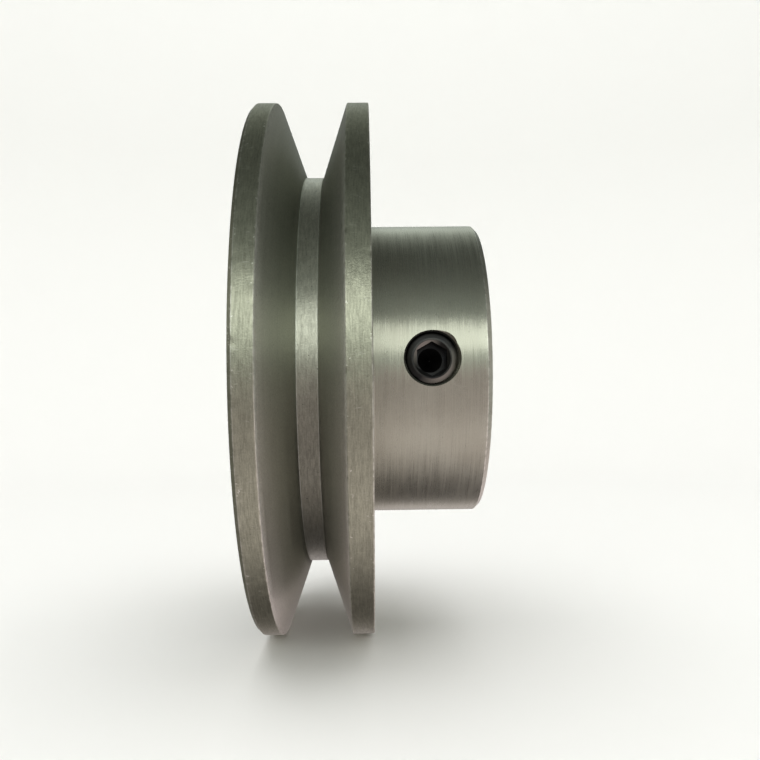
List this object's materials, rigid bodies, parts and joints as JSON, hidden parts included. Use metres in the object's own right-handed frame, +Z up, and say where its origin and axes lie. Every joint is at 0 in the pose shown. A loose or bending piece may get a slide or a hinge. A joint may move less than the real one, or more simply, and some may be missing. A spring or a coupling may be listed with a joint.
{
  "type": "v belt pulley",
  "caption": "Single-groove V belt pulley turned in one piece with its hub, with a keyed bore and a socket set screw in the hub.",
  "frame": {"origin": "on the shaft axis, half-way along the 40 mm bore, in the plane where the sheave ends and the hub starts", "axes": "+X along the shaft axis towards the free end of the hub, -Y towards the set screw, +Z up"},
  "size_m": [0.04, 0.1, 0.1],
  "materials": {
    "turned_steel": "turned, satin, unplated",
    "black_oxide_steel": "black oxide, lightly oiled"
  },
  "bodies": {
    "pulley": {"pulley_body": "turned_steel"},
    "screw": {"set_screw": "black_oxide_steel"}
  },
  "joints": [
    {"name": "set_screw_travel", "type": "slide", "parent": "pulley", "child": "screw", "axis": [0, -1, 0], "range_m": [-0.0015, 0.0105]}
  ]
}
